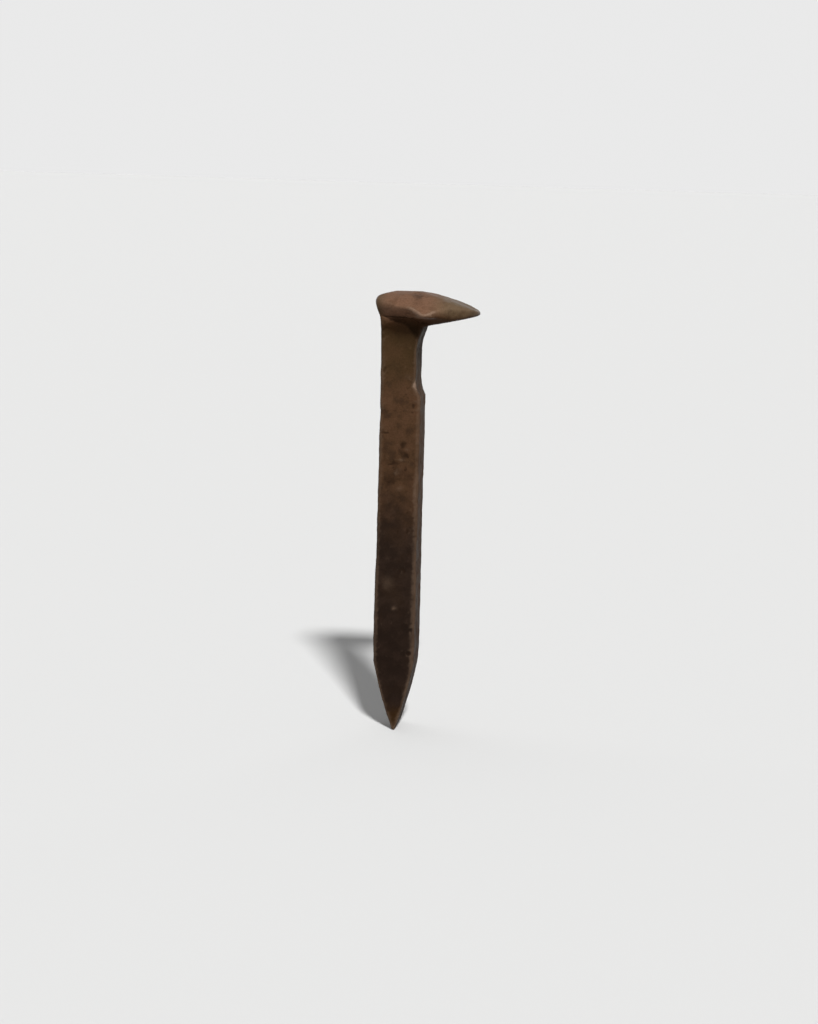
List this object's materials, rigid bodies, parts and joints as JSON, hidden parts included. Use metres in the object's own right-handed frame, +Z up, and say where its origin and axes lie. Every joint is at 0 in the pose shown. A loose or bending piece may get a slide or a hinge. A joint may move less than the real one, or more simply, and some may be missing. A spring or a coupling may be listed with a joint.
{
  "type": "rail spike",
  "caption": "Cut track spike: square shank with a chisel point and an offset domed head whose lip holds down a rail's foot.",
  "frame": {"origin": "on the shank's axis, level with the root of the lip, where the length under the head is measured from", "axes": "+Z up the shank towards the head, +X the way the lip reaches over the rail's foot, +Y along the rail"},
  "size_m": [0.0387, 0.0318, 0.165],
  "materials": {
    "rusted_steel": "hot-forged steel, rusted brown and pitted all over"
  },
  "bodies": {
    "root": {"rail_spike": "rusted_steel"}
  },
  "joints": []
}
